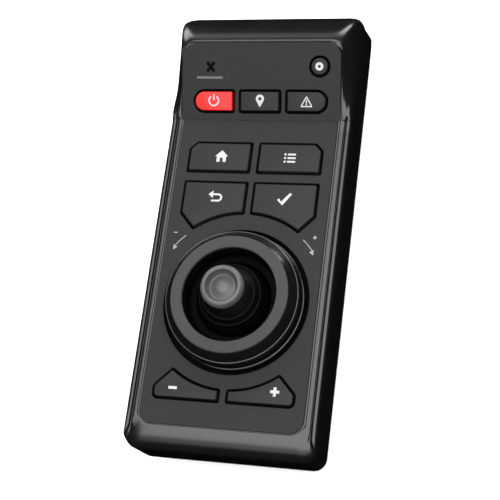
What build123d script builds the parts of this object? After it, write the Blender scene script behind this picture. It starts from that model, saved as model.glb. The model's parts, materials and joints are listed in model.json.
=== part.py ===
"""Handheld remote control pad with a rotary ring, a thumb joystick and ten push keys.

The pad lies on its back: +X to its right, +Y towards the raised header, +Z out of the key face.
The origin is the centre of the footprint, on the plane of the back. All lengths are millimetres.
"""
import os
from math import cos, radians, sin

from build123d import *

# ---------------------------------------------------------------- driving dimensions
overall_width = 75.2
overall_length = 183.2
face_height = 34.2            # main key face above the back plane
dial_y = -32.8                # centre of the ring and the joystick
corner_radius = 5.0           # plan corners of the body
wall = 2.4

crease_y = 43.1               # line where the header starts to rise
header_tilt = 24.8            # degrees, header face against main face
header_step = 0.12            # header face stands this much above the main face at the crease
header_length = 30.8          # along the sloping header face
header_half_width = 32.9
face_half_width = 32.1
face_bottom_y = -82.1
panel_corner = 5.5

plate_thickness = 1.4         # decor plates that carry the openings
web_thickness = 1.6           # housing floor below the decor plates
rim_bottom = 10.3             # lower edge of the front housing wall
slope_foot = 30.3             # height where the bevels of the front housing meet its walls
header_slope_foot = 32.6
shoulder_foot = 33.5          # outer edge of the shoulders beside the main face

key_gap = 0.8                 # visible gap round every key
key_height = 0.8              # key tops above their panel
key_bevel = 0.35              # sloping edge round the key tops
key_flange = 0.45             # flange overlap behind the opening
flange_thickness = 0.9
stem_length = 3.5
stem_radius = 2.0
board_depth = 9.4             # panel face to the top of the circuit board behind it
board_thickness = 1.6
mat_depth = 5.0
mat_thickness = 0.6

well_radius = 29.1
well_floor = 3.2              # depth of the well floor below the main face
well_floor_thickness = 1.8
sleeve_opening = 22.0

dial_foot_radius = 27.3
dial_inner_radius = 18.5
dial_bore = 19.4
dial_top = 10.3
tube_radius = 18.2            # fixed joystick housing tube
tube_inner = 16.4
tube_floor = 14.0

dome_radius = 14.4
dome_thickness = 1.5
shaft_radius = 2.2
sleeve_radius = 4.2
cap_radius = 8.3
stick_top = 21.4
pin_radius = 1.0
running = 0.05                # radial clearance of shafts and pins in their bores

cover_clearance = 0.2
cover_height = 14.0
cover_floor = 3.2
cell_radius = 7.2
cell_length = 50.5
cell_height = 9.9
cell_ys = (59.2, 74.0)
bay_half_width = 27.6
bay_low_y = 50.7
bay_high_y = 82.4
door_low_y = 44.0
door_high_y = 88.4

mount_spacing_x = 30.17
mount_spacing_y = 38.05
mount_hole_radius = 2.0

socket_height = 20.6
socket_bore = 4.0
socket_depth = 6.0
insert_radius = 3.8

# ---------------------------------------------------------------- planes
tilt = radians(header_tilt)
header = Plane(
    origin=(0, crease_y, face_height + header_step),
    x_dir=(1, 0, 0),
    z_dir=(0, -sin(tilt), cos(tilt)),
)
main = Plane(origin=(0, dial_y, face_height))
pivot = Plane(origin=(0, dial_y, face_height), x_dir=(1, 0, 0), z_dir=(0, -1, 0))

web_underside = plate_thickness + web_thickness
board_underside = board_depth + board_thickness

os.makedirs("parts", exist_ok=True)


def save(part, name):
    """Label a finished piece and write it to its own file."""
    part.label = name
    export_step(part, f"parts/{name}.step")


def header_point(along, height):
    """Y and Z of a point given along and above the header face."""
    y = crease_y + along * cos(tilt) - height * sin(tilt)
    z = face_height + header_step + along * sin(tilt) + height * cos(tilt)
    return (y, z)


# ---------------------------------------------------------------- outlines of plates and keys
def add_polygon(corners, side):
    """Fill a polygon given for the right-hand side; side -1 mirrors it to the left."""
    points = [(side * x, y) for x, y in corners]
    Polygon(*points[::side], align=None)


def main_plate_outline(grow=0.0):
    """Main decor plate, rounded at its lower corners."""
    with BuildSketch() as outline:
        with Locations((0, (crease_y + face_bottom_y) / 2)):
            Rectangle(2 * (face_half_width + grow), crease_y - face_bottom_y + 2 * grow)
        fillet(outline.vertices().group_by(Axis.Y)[0], panel_corner)
    return outline.sketch


def header_plate_outline(grow=0.0):
    """Header decor plate, rounded at its upper corners."""
    with BuildSketch() as outline:
        with Locations((0, header_length / 2)):
            Rectangle(2 * (header_half_width + grow), header_length + 2 * grow)
        fillet(outline.vertices().group_by(Axis.Y)[-1], panel_corner)
    return outline.sketch


def bar_outline(left, right, low, high, round_end=0):
    """A flat bar; round_end -1 or 1 makes that end a half circle."""
    with BuildSketch() as outline:
        with Locations(((left + right) / 2, (low + high) / 2)):
            Rectangle(right - left, high - low)
        ends = outline.vertices().group_by(Axis.X)
        end_radius = (high - low) / 2 - 0.05
        fillet(ends[0], end_radius if round_end < 0 else 1.2)
        fillet(outline.vertices().group_by(Axis.X)[-1], end_radius if round_end > 0 else 1.2)
    return outline.sketch


def upper_outline(side):
    """Upper pair of keys: a rectangle with its outer top corner cut off."""
    inner, outer, low, high = 1.1, 27.9, 52.7, 66.4
    cut = 3.2
    corners = [(inner, low), (outer, low), (outer, high - cut), (outer - cut, high), (inner, high)]
    with BuildSketch() as outline:
        add_polygon(corners, side)
        fillet(outline.vertices(), 0.9)
    return outline.sketch


def shoulder_outline(side):
    """Keys above the ring: straight top and side, a slanted corner and an arc round the ring."""
    arc_radius = 35.4
    inner, outer, top = 0.95, 27.9, 49.4
    corners = [(inner, 27.15), (20.4, 27.15), (outer, 35.1), (outer, top), (inner, top)]
    with BuildSketch() as outline:
        add_polygon(corners, side)
        Circle(arc_radius, mode=Mode.SUBTRACT)
        fillet(outline.vertices(), 0.8)
    return outline.sketch


def step_outline(side):
    """Keys below the ring: an arc round the ring on top and a rounded outer end."""
    arc_radius = 34.4
    inner, outer, bottom = 1.1, 28.2, -40.1
    corners = [(inner, bottom), (outer, bottom), (outer, -34.6), (20.1, -26.2), (inner, -26.2)]
    with BuildSketch() as outline:
        add_polygon(corners, side)
        Circle(arc_radius, mode=Mode.SUBTRACT)
        by_side = outline.vertices().sort_by(Axis.X, reverse=side > 0)
        fillet(by_side[:2], 2.6)
        fillet(outline.vertices().group_by(Axis.X)[0 if side > 0 else -1], 0.8)
        tip = outline.vertices().sort_by(Axis.Y)[-1]
        fillet(tip, 0.8)
    return outline.sketch


def round_outline(x, y, radius):
    """A round key."""
    with BuildSketch() as outline:
        with Locations((x, y)):
            Circle(radius)
    return outline.sketch


power_place = (24.4, 21.5)
main_keys = {
    "home_key": (upper_outline(-1), (-14.5, 59.5)),
    "menu_key": (upper_outline(1), (14.5, 59.5)),
    "back_key": (shoulder_outline(-1), (-14.5, 43.0)),
    "select_key": (shoulder_outline(1), (14.5, 43.0)),
    "minus_key": (step_outline(-1), (-18.5, -36.4)),
    "plus_key": (step_outline(1), (18.5, -36.4)),
}
header_keys = {
    "standby_key": (bar_outline(-28.15, -10.4, 2.7, 12.5, -1), (-19.0, 7.6)),
    "mark_key": (bar_outline(-8.95, 8.95, 2.7, 12.5), (0.0, 7.6)),
    "alert_key": (bar_outline(10.4, 28.15, 2.7, 12.5, 1), (19.0, 7.6)),
    "power_key": (round_outline(power_place[0], power_place[1], 4.4), power_place),
}
lamp_place = (-13.4, 17.1)
lamp_radius = 0.9


def place(outline, plane, grow=0.0):
    """An outline moved to a plane and made larger or smaller all round."""
    with BuildSketch(plane) as placed:
        add(outline)
        if grow:
            offset(amount=grow, kind=Kind.INTERSECTION)
    return placed.sketch


# ---------------------------------------------------------------- fastener places
column_radius = 3.4
screw_places = [(-30.6, -84.5), (30.6, -84.5), (-31.0, -5.0), (31.0, -5.0), (-31.0, 39.0), (31.0, 39.0)]
standoff_radius = 2.1
main_standoffs = [(-24.0, -78.0), (24.0, -78.0), (-25.5, -10.0), (25.5, -10.0), (-24.0, 38.0), (24.0, 38.0)]
header_standoffs = [(-28.0, 15.2), (28.0, 15.2), (0.0, 25.0)]
board_screw_radius = 1.0
housing_screw_radius = 1.5
column_foot = 14.5

# ---------------------------------------------------------------- front housing
def side_cut(side, edge_height):
    """Corners of what is cut away beside the header, across the body."""
    inner_x = header_half_width + 0.5
    outer_x = 45
    corners = [
        (side * inner_x, edge_height),
        (side * (overall_width / 2 + 0.2), header_slope_foot),
        (side * outer_x, header_slope_foot),
        (side * outer_x, 70),
        (side * inner_x, 70),
    ]
    return corners[::side]


with BuildPart() as front_housing:
    with BuildSketch(Plane.XY.offset(rim_bottom)):
        RectangleRounded(overall_width, overall_length, corner_radius)
    extrude(amount=50)
    fillet(front_housing.edges().group_by(Axis.Z)[0], 2.0)

    half_length = overall_length / 2
    header_edge = header_point(header_length + 0.6, 0)
    with BuildSketch(Plane.YZ):
        with BuildLine():
            Line((-half_length, rim_bottom), (-half_length, slope_foot - 1.5))
            Bezier(
                (-half_length, slope_foot - 1.5),
                (-half_length, 32.4),
                (-87.5, 33.8),
                (face_bottom_y - 0.3, face_height),
            )
            Line((face_bottom_y - 0.3, face_height), (crease_y, face_height))
            Line((crease_y, face_height), (crease_y, face_height + header_step))
            Line((crease_y, face_height + header_step), header_edge)
            Bezier(
                header_edge,
                (header_edge[0] + 1.6, header_edge[1] + 0.6),
                (86.6, 36.8),
                (half_length, slope_foot - 2.3),
            )
            Line((half_length, slope_foot - 2.3), (half_length, rim_bottom))
            Line((half_length, rim_bottom), (-half_length, rim_bottom))
        make_face()
    extrude(amount=overall_width, both=True, mode=Mode.INTERSECT)

    # bevels on both sides of the header
    side_x = overall_width / 2 + 0.2
    header_top_y, top_height = header_point(header_length, 0)
    for side in (-1, 1):
        with BuildSketch(Plane.XZ.offset(-crease_y)):
            Polygon(*side_cut(side, face_height + header_step), align=None)
        with BuildSketch(Plane.XZ.offset(-header_top_y)):
            Polygon(*side_cut(side, top_height), align=None)
        loft(ruled=True, mode=Mode.SUBTRACT)
        with BuildSketch(Plane.XZ.offset(-header_top_y)):
            Polygon(*side_cut(side, top_height), align=None)
        extrude(amount=-30, mode=Mode.SUBTRACT)

        # shoulder and finger groove beside the main face
        with BuildSketch(Plane.XZ.offset(-crease_y)):
            with BuildLine():
                Polyline(
                    (side * 35.8, face_height),
                    (side * side_x, shoulder_foot),
                    (side * side_x, 36),
                    (side * 35.8, 36),
                    close=True,
                )
            make_face()
            with BuildLine():
                Polyline(
                    (side * 34.8, face_height + 0.1),
                    (side * 35.15, face_height - 0.6),
                    (side * 35.5, face_height + 0.1),
                    close=True,
                )
            make_face()
        extrude(amount=crease_y - face_bottom_y, mode=Mode.SUBTRACT)

    # seats of the two decor plates
    extrude(
        place(main_plate_outline(0.05), Plane.XY.offset(face_height - plate_thickness)),
        amount=4,
        mode=Mode.SUBTRACT,
    )
    extrude(place(header_plate_outline(0.05), header.offset(-plate_thickness)), amount=4, mode=Mode.SUBTRACT)

    # hollow inside: lower room, room behind the main face, room behind the header
    inner_half = overall_width / 2 - wall
    inner_end = half_length - wall
    with BuildSketch(Plane.XY.offset(rim_bottom)):
        RectangleRounded(2 * inner_half, 2 * inner_end, corner_radius - wall)
    extrude(amount=27.5 - rim_bottom, mode=Mode.SUBTRACT)
    with BuildSketch(Plane.XY.offset(27.5)):
        with Locations((0, -22.0)):
            Rectangle(2 * inner_half - 0.8, 127.0)
    extrude(amount=face_height - web_underside - 27.5, mode=Mode.SUBTRACT)
    with BuildSketch(Plane.YZ):
        with BuildLine():
            Polyline(
                (41.4, 27.4),
                (41.4, face_height - web_underside),
                header_point(0.5, -web_underside),
                header_point(27.9, -web_underside),
                (72.6, 40.8),
                (83.5, 29.6),
                (84.5, 27.4),
                close=True,
            )
        make_face()
    extrude(amount=30.8, both=True, mode=Mode.SUBTRACT)

    # screw columns, board standoffs and the well of the ring
    with BuildSketch(Plane.XY.offset(column_foot)):
        with Locations(*screw_places):
            Circle(column_radius)
    extrude(amount=face_height - web_underside + 0.4 - column_foot)
    with BuildSketch(Plane.XY.offset(face_height - board_depth)):
        with Locations(*main_standoffs):
            Circle(standoff_radius)
    extrude(amount=board_depth - web_underside + 0.4)
    with BuildSketch(header.offset(-board_depth)):
        with Locations(*header_standoffs):
            Circle(standoff_radius)
    extrude(amount=board_depth - web_underside + 0.4)
    with BuildSketch(main.offset(-well_floor - well_floor_thickness)):
        Circle(well_radius + 1.8)
    extrude(amount=well_floor + well_floor_thickness - plate_thickness - 0.1)
    with BuildSketch(main.offset(-well_floor)):
        Circle(well_radius)
    extrude(amount=8, mode=Mode.SUBTRACT)
    with BuildSketch(main.offset(-10)):
        Circle(sleeve_opening)
    extrude(amount=12, mode=Mode.SUBTRACT)
    with BuildSketch(Plane.XY.offset(column_foot)):
        with Locations(*screw_places):
            Circle(housing_screw_radius + running)
    extrude(amount=11, mode=Mode.SUBTRACT)
    with BuildSketch(Plane.XY.offset(face_height - board_depth)):
        with Locations(*main_standoffs):
            Circle(board_screw_radius + running)
    extrude(amount=5.5, mode=Mode.SUBTRACT)
    with BuildSketch(header.offset(-board_depth)):
        with Locations(*header_standoffs):
            Circle(board_screw_radius + running)
    extrude(amount=5.5, mode=Mode.SUBTRACT)

    # openings for the keys and the status lamp
    for outline, stem in main_keys.values():
        extrude(place(outline, main.offset(-web_underside - 0.5)), amount=6, mode=Mode.SUBTRACT)
    for outline, stem in header_keys.values():
        extrude(place(outline, header.offset(-web_underside - 0.5)), amount=6, mode=Mode.SUBTRACT)
    with BuildSketch(header.offset(-web_underside - 0.5)):
        with Locations(lamp_place):
            Circle(lamp_radius + running)
    extrude(amount=6, mode=Mode.SUBTRACT)

    # round hole and seats for the data socket in the upper end wall
    socket_axis = Plane(origin=(0, half_length, socket_height), x_dir=(1, 0, 0), z_dir=(0, 1, 0))
    with BuildSketch(socket_axis.offset(-1.2)):
        Circle(6.65)
    extrude(amount=3, mode=Mode.SUBTRACT)
    with BuildSketch(socket_axis.offset(-1.7)):
        Circle(6.4)
    extrude(amount=1, mode=Mode.SUBTRACT)
    with BuildSketch(socket_axis.offset(-4)):
        Circle(5.25)
    extrude(amount=5, mode=Mode.SUBTRACT)
save(front_housing.part, "front_housing")

# ---------------------------------------------------------------- decor plates
with BuildPart() as main_faceplate:
    extrude(
        place(main_plate_outline(), Plane.XY.offset(face_height - plate_thickness)), amount=plate_thickness
    )
    with BuildSketch(main.offset(-plate_thickness)):
        Circle(well_radius)
    extrude(amount=2, mode=Mode.SUBTRACT)
    for outline, stem in main_keys.values():
        extrude(place(outline, main.offset(-2)), amount=4, mode=Mode.SUBTRACT)
save(main_faceplate.part, "main_faceplate")

with BuildPart() as header_faceplate:
    extrude(place(header_plate_outline(), header.offset(-plate_thickness)), amount=plate_thickness)
    for outline, stem in header_keys.values():
        extrude(place(outline, header.offset(-2)), amount=4, mode=Mode.SUBTRACT)
    with BuildSketch(header.offset(-2)):
        with Locations(lamp_place):
            Circle(lamp_radius + running)
    extrude(amount=4, mode=Mode.SUBTRACT)
save(header_faceplate.part, "header_faceplate")


# ---------------------------------------------------------------- keys
def make_key(name, outline, stem, panel):
    """Key cap with a flange behind the opening and a stem that reaches for its switch."""
    foot = web_underside + 0.1 + flange_thickness
    with BuildPart() as key:
        extrude(place(outline, panel.offset(-foot), key_flange), amount=flange_thickness)
        extrude(place(outline, panel.offset(-foot), -key_gap), amount=foot + key_height - key_bevel)
        extrude(place(outline, panel.offset(key_height - key_bevel), -key_gap), amount=key_bevel, taper=40)
        with BuildSketch(panel.offset(-foot)):
            with Locations(stem):
                Circle(stem_radius)
        extrude(amount=-stem_length)
    save(key.part, name)


for name, (outline, stem) in main_keys.items():
    make_key(name, outline, stem, main)
for name, (outline, stem) in header_keys.items():
    make_key(name, outline, stem, header)


# ---------------------------------------------------------------- key mats, boards and switches
with BuildPart() as main_key_mat:
    with BuildSketch(Plane.XY.offset(face_height - mat_depth - mat_thickness)):
        with Locations((0, -21.5)):
            Rectangle(66.0, 122.0)
        with Locations((0, dial_y)):
            Circle(31.3, mode=Mode.SUBTRACT)
        with Locations(*screw_places):
            Circle(column_radius + 0.4, mode=Mode.SUBTRACT)
        with Locations(*main_standoffs):
            Circle(standoff_radius + 0.3, mode=Mode.SUBTRACT)
        with Locations(*[(x, y + dial_y) for outline, (x, y) in main_keys.values()]):
            Circle(stem_radius + 0.4, mode=Mode.SUBTRACT)
    extrude(amount=mat_thickness)
save(main_key_mat.part, "main_key_mat")

with BuildPart() as header_key_mat:
    with BuildSketch(header.offset(-mat_depth - mat_thickness)):
        with Locations((0, 14.6)):
            Rectangle(60.6, 24.0)
        with Locations(*header_standoffs):
            Circle(standoff_radius + 0.3, mode=Mode.SUBTRACT)
        with Locations(*[stem for outline, stem in header_keys.values()]):
            Circle(stem_radius + 0.4, mode=Mode.SUBTRACT)
        with Locations(lamp_place):
            Circle(lamp_radius + 0.7, mode=Mode.SUBTRACT)
    extrude(amount=mat_thickness)
save(header_key_mat.part, "header_key_mat")

joystick_screw_ring = 20.8
with BuildPart() as main_board:
    with BuildSketch(Plane.XY.offset(face_height - board_underside)):
        with Locations((0, -19.5)):
            RectangleRounded(54.0, 121.0, 2.0)
        with Locations((0, dial_y)):
            Circle(tube_radius + 0.4, mode=Mode.SUBTRACT)
            with PolarLocations(joystick_screw_ring, 3, start_angle=90):
                Circle(board_screw_radius + running, mode=Mode.SUBTRACT)
        with Locations(*main_standoffs):
            Circle(board_screw_radius + 0.15, mode=Mode.SUBTRACT)
    extrude(amount=board_thickness)
save(main_board.part, "main_board")

with BuildPart() as header_board:
    with BuildSketch(header.offset(-board_underside)):
        with Locations((0, 14.6)):
            RectangleRounded(60.2, 25.6, 1.5)
        with Locations(*header_standoffs):
            Circle(board_screw_radius + 0.15, mode=Mode.SUBTRACT)
    extrude(amount=board_thickness)
save(header_board.part, "header_board")


def make_switches(name, keys, panel):
    """One low dome switch on the board behind each stem."""
    with BuildPart() as switches:
        with BuildSketch(panel.offset(-board_depth)):
            with Locations(*[stem for outline, stem in keys.values()]):
                Circle(3.0)
        extrude(amount=0.4)
        with BuildSketch(panel.offset(-board_depth + 0.4)):
            with Locations(*[stem for outline, stem in keys.values()]):
                Circle(1.4)
        extrude(amount=0.4)
    save(switches.part, name)


make_switches("main_dome_switches", main_keys, main)
make_switches("header_dome_switches", header_keys, header)


def make_board_screws(name, places, plane):
    """Pan head screws that hold a board to its standoffs."""
    with BuildPart() as screws:
        with BuildSketch(plane):
            with Locations(*places):
                Circle(1.9)
        extrude(amount=-1.3)
        with BuildSketch(plane):
            with Locations(*places):
                Circle(board_screw_radius)
        extrude(amount=board_thickness + 4.5)
    save(screws.part, name)


make_board_screws("main_board_screws", main_standoffs, Plane.XY.offset(face_height - board_underside))
make_board_screws("header_board_screws", header_standoffs, header.offset(-board_underside))

with BuildPart() as header_flex_cable:
    with BuildSketch(Plane.YZ.offset(-6)):
        with BuildLine():
            FilletPolyline(
                (33.0, face_height - board_underside - 0.2),
                (46.0, face_height - board_underside - 0.2),
                header_point(3.0, -board_underside - 0.2),
                header_point(12.0, -board_underside - 0.2),
                radius=1.0,
            )
        trace(line_width=0.3)
    extrude(amount=12)
save(header_flex_cable.part, "header_flex_cable")

with BuildPart() as processor_chip:
    with BuildSketch(Plane.XY.offset(face_height - board_underside)):
        with Locations((8.0, 12.0)):
            Rectangle(12.0, 12.0)
    extrude(amount=-1.2)
save(processor_chip.part, "processor_chip")

with BuildPart() as wireless_module:
    with BuildSketch(Plane.XY.offset(face_height - board_underside)):
        with Locations((-12.0, 14.0)):
            Rectangle(16.0, 13.0)
    extrude(amount=-2.2)
    chamfer(wireless_module.edges().group_by(Axis.Z)[0], 0.4)
save(wireless_module.part, "wireless_module")

with BuildPart() as antenna:
    with BuildSketch(Plane.XY.offset(face_height - board_underside)):
        with Locations((-12.0, 26.0)):
            Rectangle(18.0, 4.5)
    extrude(amount=-1.0)
save(antenna.part, "antenna")

with BuildPart() as status_lamp:
    with BuildSketch(header.offset(-board_depth)):
        with Locations(lamp_place):
            Rectangle(1.6, 1.0)
    extrude(amount=0.7)
save(status_lamp.part, "status_lamp")

with BuildPart() as status_light_pipe:
    with BuildSketch(header.offset(-board_depth + 0.8)):
        with Locations(lamp_place):
            Circle(lamp_radius)
    extrude(amount=board_depth - 0.8)
    with BuildSketch(header.offset(-web_underside - 0.8)):
        with Locations(lamp_place):
            Circle(lamp_radius + 0.7)
    extrude(amount=0.8)
save(status_light_pipe.part, "status_light_pipe")

# ---------------------------------------------------------------- rotary ring
with BuildPart() as dial_ring:
    with BuildSketch(pivot):
        with BuildLine():
            Polyline(
                (dial_bore, -5.3),
                (21.6, -5.3),
                (21.6, -2.6),
                (dial_foot_radius, -2.6),
                (dial_foot_radius, 0.7),
                (26.6, 1.3),
                (26.4, 5.5),
                (26.1, 6.2),
                (23.1, 9.5),
                (23.1, 9.0),
                (dial_inner_radius, 9.0),
                (dial_inner_radius, 0.3),
                (dial_bore, 0.0),
                close=True,
            )
        make_face()
    revolve(axis=Axis((0, dial_y, 0), (0, 0, 1)))
save(dial_ring.part, "dial_ring")

with BuildPart() as dial_top_ring:
    with BuildSketch(main.offset(9.0)):
        Circle(23.0)
        Circle(dial_inner_radius, mode=Mode.SUBTRACT)
    extrude(amount=dial_top - 9.0)
    fillet(dial_top_ring.edges().group_by(Axis.Z)[-1], 0.35)
save(dial_top_ring.part, "dial_top_ring")

encoder_slots = 30
with BuildPart() as encoder_ring:
    with BuildSketch(main.offset(-6.3)):
        Circle(25.5)
        Circle(dial_bore + 0.1, mode=Mode.SUBTRACT)
        with PolarLocations(24.0, encoder_slots):
            Rectangle(1.8, 1.6, mode=Mode.SUBTRACT)
    extrude(amount=1.0)
save(encoder_ring.part, "encoder_ring")

with BuildPart() as dial_bush:
    with BuildSketch(main.offset(-5.0)):
        Circle(dial_bore - running)
        Circle(tube_radius, mode=Mode.SUBTRACT)
    extrude(amount=4.8)
save(dial_bush.part, "dial_bush")

with BuildPart() as thrust_washer:
    with BuildSketch(main.offset(-well_floor)):
        Circle(26.8)
        Circle(22.4, mode=Mode.SUBTRACT)
    extrude(amount=0.55)
save(thrust_washer.part, "thrust_washer")

with BuildPart() as encoder_sensor:
    with BuildSketch(main.offset(-board_depth)):
        with Locations((0, -24.2)):
            Rectangle(4.0, 2.8)
    extrude(amount=2.4)
save(encoder_sensor.part, "encoder_sensor")

# ---------------------------------------------------------------- joystick, fixed parts
with BuildPart() as joystick_housing:
    with BuildSketch(pivot):
        with BuildLine():
            Polyline(
                (0, -tube_floor - 1.6),
                (tube_radius, -tube_floor - 1.6),
                (tube_radius, -12.6),
                (23.0, -12.6),
                (23.0, -board_underside),
                (tube_radius, -board_underside),
                (tube_radius, 1.6),
                (17.4, 2.2),
                (14.9, 2.2),
                (14.9, 0.8),
                (tube_inner, 0.8),
                (tube_inner, -tube_floor),
                (0, -tube_floor),
                close=True,
            )
        make_face()
    revolve(axis=Axis((0, dial_y, 0), (0, 0, 1)))
    with BuildSketch(main.offset(-13)):
        with PolarLocations(joystick_screw_ring, 3, start_angle=90):
            Circle(board_screw_radius + running)
    extrude(amount=3, mode=Mode.SUBTRACT)
save(joystick_housing.part, "joystick_housing")

with BuildPart() as joystick_screws:
    with BuildSketch(main.offset(-12.6)):
        with PolarLocations(joystick_screw_ring, 3, start_angle=90):
            Circle(1.9)
    extrude(amount=-1.3)
    with BuildSketch(main.offset(-12.6)):
        with PolarLocations(joystick_screw_ring, 3, start_angle=90):
            Circle(board_screw_radius)
    extrude(amount=4.0)
save(joystick_screws.part, "joystick_screws")

post_inner = 9.4
post_outer = 11.0
with BuildPart() as gimbal_frame:
    with BuildSketch(main.offset(-tube_floor)):
        Circle(15.8)
        Circle(8.0, mode=Mode.SUBTRACT)
    extrude(amount=1.4)
    with BuildSketch(main.offset(-tube_floor + 1.4)):
        with Locations((-(post_inner + post_outer) / 2, 0), ((post_inner + post_outer) / 2, 0)):
            Rectangle(post_outer - post_inner, 4.4)
    extrude(amount=tube_floor - 1.4 + 1.9)
    with BuildSketch(Plane(origin=(-20, dial_y, face_height), x_dir=(0, 1, 0), z_dir=(1, 0, 0))):
        Circle(pin_radius + running)
    extrude(amount=40, mode=Mode.SUBTRACT)
save(gimbal_frame.part, "gimbal_frame")

with BuildPart() as sensor_board:
    with BuildSketch(main.offset(-tube_floor)):
        Circle(7.7)
    extrude(amount=1.2)
save(sensor_board.part, "sensor_board")

with BuildPart() as push_switch:
    with BuildSketch(main.offset(-tube_floor + 1.2)):
        Rectangle(4.6, 4.6)
    extrude(amount=1.6)
    with BuildSketch(main.offset(-tube_floor + 2.8)):
        Circle(1.0)
    extrude(amount=0.6)
save(push_switch.part, "push_switch")

# ---------------------------------------------------------------- joystick, moving parts
ring_inner = 6.2
ring_outer = 8.8
with BuildPart() as gimbal_ring:
    with BuildSketch(main.offset(-1.8)):
        Circle(ring_outer)
        Circle(ring_inner, mode=Mode.SUBTRACT)
    extrude(amount=3.6)
    with BuildSketch(Plane(origin=(0, dial_y - 15, face_height), x_dir=(1, 0, 0), z_dir=(0, 1, 0))):
        Circle(pin_radius + running)
    extrude(amount=30, mode=Mode.SUBTRACT)
    for side in (-1, 1):
        with BuildSketch(Plane(origin=(side * 7.8, dial_y, face_height), x_dir=(0, 1, 0), z_dir=(side, 0, 0))):
            Circle(pin_radius)
        extrude(amount=post_outer - 7.8)
save(gimbal_ring.part, "gimbal_ring")

with BuildPart() as stick_carrier:
    with BuildSketch(main.offset(-6.0)):
        Circle(6.0)
    extrude(amount=0.8)
    with BuildSketch(main.offset(-6.0)):
        Circle(sleeve_radius)
    extrude(amount=20.9)
    with BuildSketch(main.offset(-6.0)):
        Circle(shaft_radius + running)
    extrude(amount=20.9, mode=Mode.SUBTRACT)
    for side in (-1, 1):
        with BuildSketch(Plane(origin=(0, dial_y + side * 3.2, face_height), x_dir=(1, 0, 0), z_dir=(0, side, 0))):
            Circle(pin_radius)
        extrude(amount=ring_outer - 0.2 - 3.2)
save(stick_carrier.part, "stick_carrier")

dome_inner = dome_radius - dome_thickness
dome_foot = -3.0
with BuildPart() as joystick_dome:
    with BuildSketch(pivot) as dome_section:
        Circle(dome_radius)
        Circle(dome_inner, mode=Mode.SUBTRACT)
        with Locations((10.25, 10.0), (12.0, 7.85)):
            Circle(0.45)
        with Locations((0, dome_foot - 10)):
            Rectangle(40, 20, mode=Mode.SUBTRACT)
        with Locations((-20 + sleeve_radius, 0)):
            Rectangle(40, 40, mode=Mode.SUBTRACT)
    revolve(axis=Axis((0, dial_y, 0), (0, 0, 1)))
save(joystick_dome.part, "joystick_dome")

with BuildPart() as joystick_shaft:
    with BuildSketch(pivot):
        with BuildLine():
            Line((0, -9.9), (0, 17.8))
            Line((0, 17.8), (shaft_radius, 17.8))
            Line((shaft_radius, 17.8), (shaft_radius, -9.9 + shaft_radius))
            RadiusArc((shaft_radius, -9.9 + shaft_radius), (0, -9.9), shaft_radius)
        make_face()
    revolve(axis=Axis((0, dial_y, 0), (0, 0, 1)))
save(joystick_shaft.part, "joystick_shaft")

with BuildPart() as joystick_cap:
    with BuildSketch(pivot):
        with BuildLine():
            Line((0, 17.8), (0, stick_top - 0.3))
            Spline(
                (0, stick_top - 0.3),
                (5.1, stick_top - 1.3),
                (6.8, stick_top),
                (cap_radius, stick_top - 1.5),
                (7.9, stick_top - 3.7),
                (5.0, stick_top - 5.4),
                tangents=((1, 0), (-1, -0.1)),
            )
            Line((5.0, stick_top - 5.4), (shaft_radius, stick_top - 5.5))
            Line((shaft_radius, stick_top - 5.5), (shaft_radius, 17.8))
            Line((shaft_radius, 17.8), (0, 17.8))
        make_face()
    revolve(axis=Axis((0, dial_y, 0), (0, 0, 1)))
save(joystick_cap.part, "joystick_cap")

with BuildPart() as tilt_magnet:
    with BuildSketch(main.offset(-8.0)):
        Circle(3.8)
        Circle(shaft_radius, mode=Mode.SUBTRACT)
    extrude(amount=1.3)
save(tilt_magnet.part, "tilt_magnet")


def add_coil(centre, direction, radius, wire, height, turns):
    """Add a round wire compression spring that starts at centre and rises along direction."""
    coil = Helix(height / turns, height, radius, center=centre, direction=direction, mode=Mode.PRIVATE)
    with BuildSketch(Plane(origin=coil @ 0, z_dir=coil % 0)) as section:
        Circle(wire / 2)
    sweep(section.sketch, path=coil)


with BuildPart() as centring_spring:
    add_coil((0, dial_y, face_height - 12.2), (0, 0, 1), 5.3, 0.6, 5.8, 5)
save(centring_spring.part, "centring_spring")

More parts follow.
